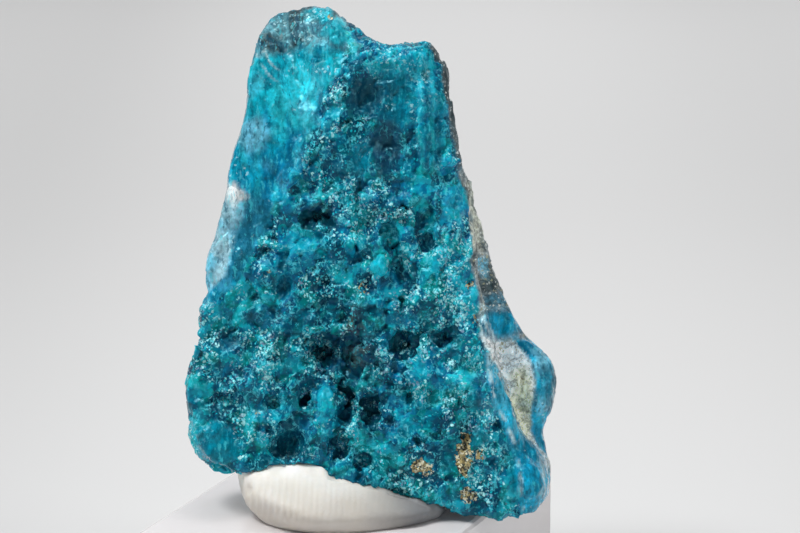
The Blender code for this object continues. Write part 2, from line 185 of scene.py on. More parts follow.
# Light spots on the crust, with their strength
LIGHT_SPOTS = [
    (321, 403, 11, 22, 0.4), (380, 265, 14, 15, 0.8), (353, 428, 9, 14, 0.7), (462, 380, 13, 13, 0.8),
    (452, 265, 18, 26, 0.5), (300, 240, 16, 12, 0.4), (410, 365, 14, 16, 0.3), (440, 300, 20, 18, 0.1),
    (262, 300, 18, 10, 0.3), (475, 470, 14, 16, 0.3), (330, 25, 12, 10, 0.6), (352, 235, 14, 10, 0.4),
    (452, 280, 26, 26, 0.7), (440, 385, 34, 22, 0.6), (395, 300, 24, 12, 0.4), (400, 60, 40, 14, 0.5),
    (340, 120, 12, 24, 0.4), (425, 100, 16, 30, 0.3), (440, 400, 30, 14, 0.3), (456, 200, 14, 24, 0.5),
    (470, 415, 14, 10, 0.3), (340, 280, 12, 8, 0.3), (205, 375, 12, 24, 0.3), (505, 470, 8, 25, 0.4),
    (468, 262, 10, 26, 0.6), (468, 312, 10, 14, 0.7), (405, 250, 9, 10, 0.7), (430, 350, 12, 12, 0.5),
    (490, 412, 9, 26, 0.7), (210, 312, 9, 16, 0.7), (206, 388, 10, 10, 0.5), (198, 440, 12, 28, 0.5),
    (270, 366, 12, 8, 0.6), (375, 448, 14, 8, 0.5), (410, 130, 9, 10, 0.5), (446, 168, 9, 12, 0.6),
    (446, 508, 16, 8, 0.5), (470, 465, 10, 10, 0.5), (500, 478, 8, 12, 0.5), (248, 288, 10, 8, 0.5),
    (490, 455, 12, 12, 0.4), (425, 225, 9, 9, 0.4), (470, 352, 10, 12, 0.4), (208, 330, 8, 12, 0.7),
    (208, 388, 8, 10, 0.5), (190, 430, 8, 14, 0.8), (208, 450, 10, 14, 0.5), (290, 448, 10, 8, 0.4),
    (310, 388, 9, 8, 0.5), (470, 390, 10, 12, 0.5), (490, 430, 9, 14, 0.7), (450, 468, 12, 10, 0.5),
    (478, 468, 14, 10, 0.6), (508, 486, 10, 14, 0.7), (450, 508, 20, 8, 0.6), (308, 48, 12, 10, 0.8),
    (410, 250, 10, 10, 0.8), (468, 250, 9, 14, 0.4),
]

# Smooth glassy spots, with their strength
SMOOTH_SPOTS = [
    (219, 443, 22, 22, 1.0), (472, 400, 12, 9, 0.6), (479, 438, 11, 12, 0.7), (456, 203, 15, 20, 0.62),
    (369, 97, 20, 22, 0.8), (386, 147, 14, 27, 0.9), (361, 158, 12, 18, 0.9), (284, 288, 10, 16, 0.7),
    (322, 400, 9, 18, 0.6), (380, 266, 12, 13, 0.7), (285, 442, 14, 15, 0.7), (402, 320, 14, 10, 0.7),
    (455, 345, 12, 14, 0.5), (530, 470, 22, 36, 0.9), (395, 100, 26, 36, 0.7), (230, 345, 12, 12, 0.6),
    (430, 120, 20, 60, 0.65), (400, 70, 34, 16, 0.6), (345, 160, 16, 30, 0.5), (420, 190, 26, 20, 0.5),
    (262, 300, 14, 10, 0.5), (360, 300, 16, 10, 0.5), (420, 320, 20, 10, 0.5), (250, 395, 16, 10, 0.5),
    (400, 430, 14, 14, 0.5), (310, 455, 14, 10, 0.5), (370, 330, 12, 12, 0.5), (330, 270, 14, 12, 0.5),
]

# Pale crystals lying on the crust, with their strength
FROST_SPOTS = [
    (300, 28, 34, 18, 0.35), (337, 95, 6, 13, 0.9), (322, 66, 20, 8, 0.35), (265, 358, 12, 20, 0.75),
    (449, 364, 6, 6, 1.3), (241, 422, 4, 9, 1.1), (238, 434, 3, 8, 0.8), (425, 75, 5, 4, 0.9),
    (412, 290, 12, 5, 0.6), (240, 345, 10, 12, 0.35), (470, 425, 10, 7, 0.6), (350, 182, 5, 9, 0.7),
    (300, 455, 18, 6, 0.5), (492, 380, 6, 22, 0.5), (215, 378, 12, 8, 0.4), (395, 215, 18, 8, 0.4),
    (365, 290, 6, 14, 0.5), (440, 330, 30, 16, 0.2), (365, 88, 14, 8, 0.25), (310, 165, 10, 24, 0.3),
    (500, 470, 8, 20, 0.45), (465, 305, 12, 6, 0.4), (488, 415, 7, 24, 0.6), (210, 312, 8, 14, 0.4),
]

# Golden crumbs, with their strength
OCHRE_SPOTS = [
    (464, 444, 7, 10, 1.0), (464, 466, 7, 13, 1.1), (420, 464, 7, 8, 1.1), (478, 456, 5, 6, 0.9),
    (427, 472, 5, 7, 0.9), (468, 496, 8, 10, 0.8), (330, 18, 3, 3, 0.8), (471, 285, 4, 5, 0.7),
    (474, 318, 4, 7, 0.8), (268, 272, 3, 5, 0.7), (253, 412, 5, 5, 0.5), (364, 292, 4, 8, 0.6),
    (303, 20, 4, 4, 0.5),
]

# Hollows of the solid that are filled in part, and places where the outline is drawn in, in millimetres
FILLINGS = [
    (354, 246, 10, 10, 0.5), (404, 206, 11, 11, 0.5), (421, 443, 10, 10, 0.3), (408, 394, 10, 14, 0.25),
    (318, 217, 16, 10, 0.35), (447, 337, 10, 10, 0.2),
]
TRIMS = [(440, 48, 12, 14, 0.30)]

# Spots of colour with their strength, painted in order over the teal and over the stone's other parts
# The navy and brown-black spots on the pits are partly the stone's deep colour and partly painted shade
CRUST_PAINT = [
    (230, 400, 70, 90, GREEN_TEAL, 0.8), (300, 330, 80, 60, GREEN_TEAL, 0.5), (440, 130, 24, 70, BLUE, 0.45),
    (369, 97, 22, 26, NAVY, 0.8), (386, 147, 16, 30, PURPLE_NAVY, 0.95), (361, 160, 13, 20, TEAL, 0.5),
    (452, 455, 60, 60, GREEN_TEAL, 0.6), (456, 203, 18, 24, SKY, 0.9), (284, 288, 16, 20, DEEP_BLUE, 0.7),
    (230, 342, 15, 15, DEEP_BLUE, 0.6), (380, 265, 16, 17, BRIGHT_CYAN, 0.9),
    (321, 403, 13, 25, BRIGHT_CYAN, 0.8), (353, 428, 11, 16, BRIGHT_CYAN, 0.8),
    (402, 316, 18, 13, DEEP_BLUE, 0.8), (322, 350, 22, 16, NAVY, 0.9), (403, 344, 16, 14, NAVY, 0.8),
    (354, 340, 10, 30, BROWN, 0.75), (285, 443, 19, 20, NAVY, 0.6), (318, 217, 19, 12, BROWN_BLACK, 0.7),
    (447, 337, 12, 12, NAVY, 0.8), (371, 412, 10, 19, NAVY, 0.8), (338, 32, 16, 14, PALE_CYAN, 0.9),
    (462, 380, 14, 14, PALE_CYAN, 0.5), (440, 265, 30, 30, BRIGHT_CYAN, 0.35),
    (295, 310, 30, 14, DEEP_BLUE, 0.4), (478, 440, 12, 14, GREEN_TEAL, 0.8),
    (472, 400, 14, 11, GREEN_TEAL, 0.6), (225, 445, 26, 24, TEAL, 0.7), (390, 60, 40, 16, TEAL, 0.5),
    (300, 270, 22, 14, DEEP_BLUE, 0.35),
]
FACET_PAINT = [
    (305, 105, 34, 38, PALE_CYAN, 1.2), (300, 175, 16, 42, DEEP_BLUE, 0.9), (300, 50, 30, 10, DEEP_BLUE, 0.3),
    (274, 176, 12, 16, DEEP_BLUE, 0.5), (325, 120, 12, 30, DEEP_BLUE, 0.9),
]
CAP_PAINT = [
    (338, 32, 12, 12, PALE_CYAN, 1.0), (318, 14, 14, 8, BRIGHT_CYAN, 1.0), (302, 14, 10, 8, BROWN_BLACK, 0.7),
]
LUMP_PAINT = [(546, 352, 14, 9, LILAC, 1.0), (549, 388, 9, 24, SLATE_BLUE, 0.7)]
ROCK_PAINT = [
    (496, 276, 12, 16, BROWN_BLACK, 1.0), (484, 266, 6, 10, LILAC, 0.8), (498, 300, 14, 9, SLATE_BLUE, 0.8),
]

# Single spots: on the crust and the facet, on the cap, by the rib, and in the seam and its belt
STRIPE_PAINT_SPOT, BROWN_PIT = (428, 118, 18, 70), (365, 338, 9, 22)
FACET_FOOT, FACET_GLINT = (252, 245, 24, 50), (235, 195, 13, 10)
FACET_CORNER, FACET_SHOULDER = (226, 206, 12, 14), (252, 135, 16, 18)
RING_MIDDLE, RING_GAP, RING_SPOT = (312, 34), 1.5, (274, 56, 18, 24)
RIB_FOOT, RIB_STRIP, TOE_GLEAM = (532, 470, 14, 40), (491, 400, 9, 34), (543, 478, 5, 16)
WINDOW, SEAM_CREAM = (502, 322, 20, 16), (474, 215, 12, 34)
BELT_WHITE, BELT_CREAM = (490, 354, 10, 30), (519, 415, 14, 48)

# Lines that run down the view: the facet's edge, its bevel, the front's right edge, the rib's left edge, a
# white glint in the seam and the lump's left edge
FACET_LINE = [(349, 40), (345, 60), (330, 100), (305, 150), (280, 200), (255, 250), (232, 290), (205, 312)]
BEVEL_LINE = [(238, 130), (247, 165), (250, 195), (240, 225), (232, 250), (224, 275), (200, 300)]
EDGE_LINE = [
    (431, 45), (441, 60), (443, 80), (446, 100), (451, 125), (456, 150), (461, 175), (467, 200), (472, 220),
    (470, 240), (471, 260), (475, 280), (478, 300), (478, 320), (479, 338), (493, 362), (504, 383), (511, 402),
    (516, 420), (525, 435), (536, 446), (545, 460), (552, 480), (556, 520),
]
RIB_LINE = [
    (478, 300), (479, 340), (486, 365), (488, 380), (492, 400), (500, 420), (507, 440), (513, 460), (517, 480),
    (520, 500), (522, 520),
]
GLINT_LINE = [(480, 298), (483, 310), (488, 325), (493, 342)]
LUMP_LINE = [(512, 338), (522, 350), (531, 362), (535, 385), (532, 400), (530, 430), (538, 446), (560, 470)]

# Soft square lights in metres and watts: name, place, width and height, power, aim
LIGHTS = [
    ("key", (-0.24, -0.15, 0.50), (0.17, 0.14), 1.95, (0.0, 0.0, 0.03)),
    ("top", (0.02, -0.04, 0.56), (0.34, 0.24), 1.00, (0.0, 0.0, 0.03)),
    ("left", (-0.50, -0.10, 0.16), (0.08, 0.36), 0.50, (0.0, 0.0, 0.03)),
    ("right", (0.45, -0.22, 0.20), (0.08, 0.36), 0.56, (0.0, 0.0, 0.03)),
    ("back", (0.0, 0.85, 0.28), (1.40, 0.44), 1.10, (0.0, 0.0, 0.03)),
    ("far", (0.08, 0.52, 0.60), (0.60, 0.40), 1.25, (0.05, 0.50, 0.0)),
]
SURROUND_POWER = 0.09


def smooth_step(low, high, value):
    """0 below low, 1 above high, and a smooth curve between, for arrays."""
    share = np.clip((value - low) / (high - low), 0.0, 1.0)
    return share * share * (3.0 - 2.0 * share)


def side_of(line, across, down):
    """How many pixels right of a chain of points, which runs down the view, each point is."""
    points = np.array(line, float)
    return across - np.interp(down, points[:, 1], points[:, 0])


def spot(across, down, middle_x, middle_y, half_x, half_y):
    """1 in the middle of an oval and 0 outside it."""
    distance = ((across - middle_x) / half_x) ** 2 + ((down - middle_y) / half_y) ** 2
    return smooth_step(1.7, 0.35, distance)


def spots(across, down, listed):
    """The strongest of several ovals at each point."""
    total = np.zeros_like(across)
    for *oval, strength in listed:
        total = np.maximum(total, strength * spot(across, down, *oval))
    return total


def sampled(points, scale, offset=(0.0, 0.0, 0.0)):
    """Noise at every point times scale, as an array."""
    shift = Vector(offset)
    return np.array([noise.noise(Vector(point) * scale + shift) for point in points.tolist()])


def shards(points, scale, offset):
    """Broken-crystal relief from tilted cells: height in cells, a random tone and the cell's depth."""
    shift = Vector(offset)
    rows = []
    for point in points.tolist():
        place = Vector(point) * scale + shift
        distances, seeds = noise.voronoi(place)
        chance = noise.cell_vector(seeds[0] * 37.0)
        tilt = chance * 2.0 - Vector((1.0, 1.0, 1.0))
        height = tilt.dot(place - seeds[0]) + 0.5 * (chance.y - 0.5)
        rows.append((height, chance.z, distances[1] - distances[0]))
    return np.array(rows).T


def stone_frame():
    """From the stone's own frame, in millimetres, to the world."""
    stand_up = Matrix.Rotation(math.pi / 2 - LEAN, 4, "X")
    return Matrix.Translation(FOOT * MM) @ stand_up @ Matrix.Scale(MM, 4)


def scene_object(name, data):
    """A new object in the scene."""
    made = bpy.data.objects.new(name, data)
    bpy.context.scene.collection.objects.link(made)
    return made


def fine_mesh(node, name, voxel, smoothing):
    """A dense, smoothed copy of a node's mesh."""
    source = scene_object("fine", node.data.copy())
    remesh = source.modifiers.new("remesh", "REMESH")
    remesh.mode = "VOXEL"
    remesh.voxel_size = voxel * MM
    ease = source.modifiers.new("ease", "SMOOTH")
    ease.factor = 0.5
    ease.iterations = smoothing
    graph = bpy.context.evaluated_depsgraph_get()
    mesh = bpy.data.meshes.new_from_object(source.evaluated_get(graph))
    bpy.data.objects.remove(source)
    mesh.materials.clear()
    mesh.name = name
    return mesh


def points_of(mesh):
    """Vertex positions and normals, as arrays."""
    count = len(mesh.vertices)
    places = np.empty(count * 3, np.float32)
    mesh.vertices.foreach_get("co", places)
    normals = np.empty(count * 3, np.float32)
    mesh.vertices.foreach_get("normal", normals)
    return places.reshape(-1, 3).astype(float), normals.reshape(-1, 3).astype(float)


def place_points(mesh, places):
    """Moves the mesh's vertices to the given places."""
    mesh.vertices.foreach_set("co", places.astype(np.float32).ravel())


def eased(mesh, values, rounds):
    """Values averaged with their neighbours' along the mesh's edges, a number of times."""
    ends = np.empty(len(mesh.edges) * 2, np.int32)
    mesh.edges.foreach_get("vertices", ends)
    first, second = ends.reshape(-1, 2).T
    count = np.bincount(ends, minlength=len(values))
    for _ in range(rounds):
        total = np.bincount(first, values[second], len(values))
        total += np.bincount(second, values[first], len(values))
        values = 0.4 * values + 0.6 * total / count
    return values


def store(mesh, name, values):
    """Stores one number or one colour at each point of a mesh."""
    if values.ndim == 1:
        attribute = mesh.attributes.new(name, "FLOAT", "POINT")
        attribute.data.foreach_set("value", values.astype(np.float32))
    else:
        attribute = mesh.attributes.new(name, "FLOAT_COLOR", "POINT")
        full = np.concatenate([values, np.ones((len(values), 1))], axis=1)
        attribute.data.foreach_set("color", full.astype(np.float32).ravel())


def smooth_piece(mesh, material):
    """A smooth-shaded mesh in its material, in the scene."""
    mesh.shade_smooth()
    mesh.materials.append(material)
    return scene_object(mesh.name, mesh)


def in_view(places):
    """Where points of the stone's frame fall in the view, in pixels."""
    grow = DISTANCE / (DISTANCE - places[:, 2]) / PIXEL
    across = VIEW_WIDTH / 2 + (places[:, 0] - VIEW_MIDDLE[0]) * grow
    down = VIEW_HEIGHT / 2 - (places[:, 1] - VIEW_MIDDLE[1]) * grow
    return across, down


class Zones:
    """Where each kind of surface lies on the stone, from 0 to 1 at each point, and the noises they share."""

    def __init__(self, places, normals):
        self.across, self.down = in_view(places)
        across, down = self.across, self.down
        self.front = smooth_step(-0.05, 0.25, normals[:, 2])
        wave = 5.0 * sampled(places, 0.9)
        self.wavy_across = across + wave + 3.0 * sampled(places, 2.3, (1.0, 1.0, 1.0))
        self.wavy_down = down + 7.0 * sampled(places, 0.8, (6.0, 2.0, 9.0))
        self.wavy_down += 3.0 * sampled(places, 2.3, (4.0, 8.0, 3.0))
        self.cloud = sampled(places, 0.16, (8.0, 1.0, 5.0))
        self.mottle = sampled(places, 0.5, (3.0, 7.0, 2.0))
        self.blotch = sampled(places, 0.7, (1.0, 4.0, 9.0))
        self.crack = sampled(places, 1.2, (5.0, 5.0, 2.0))
        self.streak = sampled(places * (1.6, 0.35, 1.0), 1.0, (2.0, 2.0, 6.0))

        forward = smooth_step(-0.75, -0.35, normals[:, 2])
        past_facet = side_of(FACET_LINE, self.wavy_across, self.wavy_down)
        past_facet += 14.0 * np.maximum(sampled(places, 0.55, (2.0, 5.0, 7.0)), -0.2)
        self.facet = smooth_step(7.0, -9.0, past_facet) * forward
        self.facet *= smooth_step(314, 285, self.wavy_down) * smooth_step(34, 56, self.wavy_down)
        self.bevel = self.facet * smooth_step(3.0, -3.0, side_of(BEVEL_LINE, across, down) + wave * 0.6)
        self.bevel *= smooth_step(120, 150, down)
        cap_rim = 47 + 0.004 * (across - 312) ** 2
        self.cap = smooth_step(5.0, -6.0, self.wavy_down - cap_rim) * smooth_step(352, 344, across) * forward
        self.seam = smooth_step(-1.5, 1.5, side_of(EDGE_LINE, across, down) + wave * 0.35)
        past_lump = side_of(LUMP_LINE, across, down) + wave * 0.3
        self.lump = self.seam * smooth_step(-1.5, 2.0, past_lump) * smooth_step(334, 342, down)
        self.window = self.seam * self.firm(*WINDOW) ** 0.5 * smooth_step(306, 316, down)
        self.rib = smooth_step(-2.0, 2.0, side_of(RIB_LINE, across, down) + wave * 0.4)
        self.rib *= (1.0 - self.seam) * smooth_step(345, 362, down)

    def firm(self, *oval):
        """One oval with a clean outline."""
        return spot(self.across, self.down, *oval)

    def ragged(self, *oval):
        """One oval whose outline wanders a little."""
        return spot(self.wavy_across, self.wavy_down, *oval)

    def firm_spots(self, listed):
        """Several ovals on the front with clean outlines."""
        return spots(self.across, self.down, listed) * self.front

    def ragged_spots(self, listed):
        """Several ovals on the front whose outlines wander a little."""
        return spots(self.wavy_across, self.wavy_down, listed) * self.front

    def radius(self, middle):
        """Distance from a middle in the view, in pixels."""
        return np.hypot(self.across - middle[0], self.down - middle[1])

    def stripes(self, wander=0.0):
        """Waves of the upright stripes under the notch."""
        return np.sin(self.across / STRIPE_GAP + 0.6 * np.sin(self.down / 9.0) + wander)


def stone_relief(places, normals, zones):
    """How far each point moves along its normal, in millimetres, and what the relief tells the colours."""
    smooth = np.maximum.reduce([
        zones.facet * 0.95, zones.rib * 0.9, zones.window, zones.lump * 0.8, zones.seam * 0.5,
        zones.ragged_spots(SMOOTH_SPOTS) * 0.85, zones.cap * 0.85,
    ])
    rough = 1.0 - np.clip(smooth, 0.0, 1.0)
    bend = np.stack([sampled(places, 0.8, (k * 9.1, 3.3, 1.7)) for k in range(3)], axis=1)
    bent = (places + 0.45 * bend) * (1.0, 0.75, 1.0)
    big, big_tone, big_depth = shards(bent, BIG_CELLS, (3.0, 8.0, 1.0))
    middle, middle_tone, middle_depth = shards(bent, MIDDLE_CELLS, (5.0, 2.0, 8.0))
    small, small_tone, _ = shards(bent, SMALL_CELLS, (2.0, 9.0, 4.0))
    ripples = sampled(places, 0.45, (4.0, 4.0, 4.0))
    grit = rough * smooth_step(-0.28, 0.22, sampled(places, 0.42, (7.0, 3.0, 2.0)) + 0.15 * bend[:, 1])

    height = rough * (CRUST_BIG * big + CRUST_MIDDLE * middle)
    height += (CRUST_SMALL * rough + GRIT_SMALL * grit) * small
    cells = CELL_BIG * np.clip(big_depth, 0, 0.5) + CELL_MIDDLE * np.clip(middle_depth, 0, 0.5)
    height += rough * (cells - CRUST_SINK)
    face = FACE_RIPPLE * ripples + FACE_BIG * big + FACE_MIDDLE * middle + FACE_SMALL * small
    height += (1.0 - rough) * face
    height += zones.cap * (CAP_BIG * big + CAP_MIDDLE * middle)
    broken = smooth_step(-0.40, 0.10, bend[:, 2] + 0.35 * bend[:, 0])
    dark = zones.ragged_spots(DARK_SPOTS) * (0.45 + 0.60 * broken)
    pits = np.clip(dark - PIT_FROM, 0.0, 1.0) * rough
    height += pits * (PIT_MIDDLE * middle + PIT_SMALL * small - PIT_DEPTH)
    height += zones.firm_spots(FILLINGS)
    height -= spots(zones.across, zones.down, TRIMS)
    height += LIGHT_LIFT * zones.ragged_spots(LIGHT_SPOTS)
    height += ARC_HEIGHT * np.sin(zones.radius(ARC_MIDDLE) / ARC_GAP) * zones.firm(*ARC_SPOT) * zones.front
    height += STRIPE_HEIGHT * zones.stripes() * zones.firm(*STRIPE_SPOT) * zones.front * (0.4 + rough)
    outline = 0.35 + 0.65 * smooth_step(0.0, 0.4, np.abs(normals[:, 2]))
    height = np.where(height > 0.0, height * outline, height)

    tones = 0.5 * big_tone + 0.5 * middle_tone - 0.5 + 0.2 * (small_tone - 0.5)
    glass = np.maximum(smooth, 0.42 * (rough - grit))
    return height, glass, grit, dark, tones


def painted(base, layers):
    """The base colour, moved towards each layer's colour in turn by the layer's mask."""
    tint = np.array(base)
    for mask, colour in layers:
        mask = np.clip(mask, 0.0, 1.0)[:, None]
        tint = tint * (1.0 - mask) + np.array(colour) * mask
    return tint


def spot_layers(zones, mask, listed):
    """Layers for the listed spots of colour inside the mask."""
    return [(strength * zones.ragged(*oval) * mask, colour) for *oval, colour, strength in listed]


def crust_layers(zones):
    """The crust's broad colours, its stripes and its brown pit, whose darkness is partly painted shade."""
    lines = zones.stripes(1.2 * zones.mottle)
    striped = zones.firm(*STRIPE_PAINT_SPOT) * zones.front
    return [
        (0.6 * smooth_step(0.0, 0.5, zones.cloud), GREEN_TEAL),
        (0.5 * smooth_step(0.0, -0.5, zones.cloud), BLUE),
        *spot_layers(zones, zones.front, CRUST_PAINT),
        (0.6 * striped * smooth_step(0.35, 0.95, lines), PALE_CYAN),
        (0.5 * striped * smooth_step(-0.3, -0.9, lines), NAVY),
        # Partly painted shade: the brown pit
        (zones.front * zones.ragged(*BROWN_PIT) * smooth_step(-0.4, 0.1, zones.mottle), BROWN_BLACK),
    ]


def facet_layers(zones):
    """The smooth facet: pale at its top, blue below, with its bevel painted pale as a reflection of the light
    and a painted white glint at its left edge.
    """
    front, mottle, streak = zones.front, zones.mottle, zones.streak
    across, down = zones.wavy_across, zones.wavy_down
    facet, bevel = zones.facet * front, zones.bevel * front
    band = smooth_step(13.0, 3.0, np.abs(side_of(FACET_LINE, across, down) + 15.0 + 6.0 * zones.cloud))
    torn = front * (1.1 + 1.2 * mottle + 1.2 * streak)
    return [
        (facet, BRIGHT_CYAN),
        (0.8 * facet * smooth_step(60, 200, down + 20 * mottle), BLUE),
        *spot_layers(zones, facet, FACET_PAINT),
        (0.75 * facet * band * smooth_step(110, 150, down), DEEP_BLUE),
        (0.6 * facet * smooth_step(0.15, 0.5, streak) * smooth_step(250, 190, down), PALE_CYAN),
        (0.7 * facet * smooth_step(-0.15, -0.5, streak), DEEP_BLUE),
        (0.2 * facet * smooth_step(0.15, 0.45, mottle), LILAC),
        (facet * zones.ragged(*FACET_FOOT), SLATE_BLUE),
        # Painted reflection: lilac and ice on the bevel, where it reflects the light
        (0.85 * bevel * smooth_step(195, 215, down), LILAC),
        (0.5 * bevel * smooth_step(205, 225, down) * smooth_step(-0.2, 0.3, mottle), ICE),
        # Painted glint: a white spot at the facet's left edge
        (torn * zones.ragged(*FACET_GLINT), WHITE),
        # Painted reflection: pale ice under the glint
        (0.45 * facet * zones.firm(*FACET_CORNER), ICE),
        (0.8 * facet * zones.ragged(*FACET_SHOULDER), LILAC),
    ]


def cap_layers(zones):
    """The smoky cap and curved white rings along its ripples, which are painted glints."""
    cap = zones.cap * zones.front
    # Painted glints: white rings along the cap's curved ripples
    rings = smooth_step(0.78, 0.97, np.sin(zones.radius(RING_MIDDLE) / RING_GAP + 1.6 * zones.mottle))
    rings *= smooth_step(-0.25, 0.15, zones.crack) * zones.firm(*RING_SPOT)
    return [
        (0.9 * cap, SMOKE),
        (0.75 * rings * zones.front, ICE),
        (cap * smooth_step(0.0, 0.25, zones.mottle + 0.3 * zones.cloud), BROWN_BLACK),
        *spot_layers(zones, cap, CAP_PAINT),
    ]


def rib_layers(zones):
    """The glassy blue rib and the pale strip beside it."""
    rib, mottle = zones.rib, zones.mottle
    return [
        (rib, RIB_BLUE),
        (0.6 * rib * smooth_step(0.1, 0.5, mottle), LILAC),
        (0.8 * rib * smooth_step(0.0, -0.4, mottle), DEEP_BLUE),
        (0.7 * rib * zones.ragged(*RIB_FOOT), BLUE),
        (0.7 * zones.front * zones.ragged(*RIB_STRIP) * smooth_step(-0.4, 0.2, mottle), LILAC),
    ]


def lump_layers(zones):
    """The blue window in the seam and the glassy lump under it."""
    window, lump, mottle = zones.window, zones.lump, zones.mottle
    return [
        (window, BLUE),
        (window * smooth_step(0.0, 0.4, mottle), DEEP_BLUE),
        (lump, RIB_BLUE),
        (lump * smooth_step(0.1, 0.4, mottle), LILAC),
        (0.8 * lump * smooth_step(0.0, -0.3, mottle), DEEP_BLUE),
        *spot_layers(zones, lump * zones.front, LUMP_PAINT),
    ]


def rock_layers(zones):
    """The host rock: brown-black at the top, sandy in the middle, pale grey and cream in the belt."""
    front, down, blotch = zones.front, zones.wavy_down, zones.blotch
    return [
        (smooth_step(230, 90, down), BROWN_BLACK),
        (0.5 * zones.ragged(*SEAM_CREAM), CREAM),
        (0.8 * smooth_step(0.0, 0.3, blotch), BROWN_BLACK),
        *spot_layers(zones, front, ROCK_PAINT),
        (front * smooth_step(332, 342, down), PALE_GREY),
        (front * zones.ragged(*BELT_WHITE), WHITE),
        (front * zones.ragged(*BELT_CREAM) * smooth_step(-0.5, 0.2, blotch), CREAM),
    ]


def gleams(zones):
    """Painted highlights: thin bright lines along the rib, in the seam, at the toe and along the front's right
    edge.
    """
    across, down, crack = zones.wavy_across, zones.wavy_down, zones.crack
    beside_rib = side_of(RIB_LINE, zones.across, zones.down) - 3.0 - 8.0 * zones.cloud
    rib = smooth_step(3.0, 1.0, np.abs(beside_rib)) * smooth_step(-0.1, 0.25, crack)
    rib *= smooth_step(350, 365, down)
    glint = smooth_step(3.4, 1.2, np.abs(side_of(GLINT_LINE, across, down)))
    glint *= smooth_step(298, 304, down) * smooth_step(345, 339, down)
    toe = zones.ragged(*TOE_GLEAM) * smooth_step(-0.2, 0.2, crack)
    edge = 0.8 * smooth_step(2.6, 1.0, np.abs(side_of(EDGE_LINE, across, down) - 1.0))
    edge *= smooth_step(300, 312, down) * smooth_step(368, 356, down)
    return np.maximum.reduce([rib, glint, toe, edge])


def stone_tint(places, normals, zones):
    """The stone's broad colour at each point, and how much of it is host rock."""
    behind = smooth_step(0.1, -0.3, normals[:, 2])
    behind *= smooth_step(0.05, 0.3, zones.cloud + 0.25 * zones.mottle + 0.05 * (places[:, 0] - 2.0))
    rock = np.maximum(np.clip(zones.seam - zones.window - zones.lump, 0.0, 1.0), behind)
    tint = painted(TEAL, [
        *crust_layers(zones), *facet_layers(zones), *cap_layers(zones),
        *rib_layers(zones), *lump_layers(zones),
        (rock, painted(SAND_GREY, rock_layers(zones))),
        (0.8 * zones.lump * smooth_step(546, 558, zones.wavy_across), BROWN_BLACK),
        # Painted highlights along the rib, seam, toe and right edge
        (0.75 * gleams(zones) * zones.front, ICE),
    ])
    return tint, rock


def stone_mesh(node):
    """The node's form with its crust, pits and glassy faces, and the values that its material reads."""
    mesh = fine_mesh(node, "stone_surface", STONE_VOXEL, STONE_SMOOTHING)
    mesh.transform(stone_frame().inverted())
    places, normals = points_of(mesh)
    zones = Zones(places, normals)
    height, glass, grit, dark, tones = stone_relief(places, normals, zones)
    # The rise also paints light on bumps and shade in hollows of the crust's colour
    rise = (height - eased(mesh, height, RISE_ROUNDS)) / RISE_UNIT
    tint, rock = stone_tint(places, normals, zones)
    frost = np.maximum(zones.ragged_spots(FROST_SPOTS), 0.2 * zones.bevel * zones.front)
    ochre = np.maximum(zones.ragged_spots(OCHRE_SPOTS), 0.36 * rock * smooth_step(190, 230, zones.wavy_down))
    place_points(mesh, places + normals * height[:, None])
    mesh.transform(stone_frame())
    for name, values in (
        ("tint", tint), ("glass", np.clip(glass, 0, 1)), ("tone", zones.ragged_spots(LIGHT_SPOTS) + tones),
        ("frost", frost), ("ochre", ochre), ("rock", rock), ("rise", np.clip(rise, -1.5, 1.5)), ("dark", dark),
        ("grit", grit),
    ):
        store(mesh, name, values)
    return mesh


def putty_mesh(node, stone_node):
    """The putty's form: it meets the stone and the block, and carries pressed fingerprint ridges."""
    mesh = fine_mesh(node, "putty_lump", PUTTY_VOXEL, PUTTY_SMOOTHING)
    corners = [vertex.co for vertex in stone_node.data.vertices]
    tree = bvhtree.BVHTree.FromPolygons(corners, [polygon.vertices for polygon in stone_node.data.polygons])
    places, normals = points_of(mesh)
    up = Vector((0.0, 0.0, 1.0))
    base = BLOCK_TOP * MM
    low, high = places[:, 2].min(), places[:, 2].max()
    lift = np.zeros(len(places))
    for index, (place, normal) in enumerate(zip(places.tolist(), normals.tolist())):
        above = tree.ray_cast(Vector((place[0], place[1], base)), up)[0]
        if above is not None and normal[2] > -0.1:
            to_stone = min(PUTTY_LIFT * MM, above.z - place[2] + PUTTY_OVERLAP * MM)
            lift[index] = to_stone * min(1.0, (normal[2] + 0.1) * 2.0)
    share = (places[:, 2] - low) / (high - low)
    places[:, 2] += eased(mesh, lift, 12) - np.clip(1.0 - share * 8.0, 0.0, 1.0) * (low - base + 0.02 * MM)
    tucked = smooth_step(-3.0 * MM, 4.0 * MM, places[:, 0]) * smooth_step(0.4, -0.5, normals[:, 1])
    places[:, 1] += PUTTY_TUCK * MM * eased(mesh, tucked, TUCK_ROUNDS)
    flank = smooth_step(-3.0 * MM, -8.6 * MM, places[:, 0])
    places[:, 0] += PUTTY_NARROWING * MM * flank * (1.0 - 0.6 * share)
    place_points(mesh, places)
    mesh.update()

    _, normals = points_of(mesh)
    local = places / MM - np.array(FOOT)
    to_stone_frame = np.array(stone_frame().inverted())
    across, down = in_view(places @ to_stone_frame[:3, :3].T + to_stone_frame[:3, 3])
    ridges = np.sin(2.0 * math.pi * (across + 0.10 * (down - 500)) / RIDGE_PITCH + 0.8 * np.sin(across / 19.0))
    pressed = spot(across, down, *THUMB) + 0.35 * spot(across, down, *FINGER)
    pressed = np.clip(pressed, 0, 1) * smooth_step(0.2, -0.5, normals[:, 1])
    height = RIDGE_HEIGHT * ridges * pressed - NICK_DEPTH * spot(across, down, *NICK)
    height += DENT_HEIGHT * sampled(local, 0.33, (3.0, 1.0, 2.0))
    height += KNEAD_HEIGHT * sampled(local, 1.1, (1.0, 5.0, 2.0))
    settled = smooth_step(low, low + 0.6 * MM, places[:, 2])
    place_points(mesh, places + normals * (height * settled)[:, None] * MM)
    store(mesh, "ridges", pressed * (0.5 + 0.5 * ridges))
    return mesh


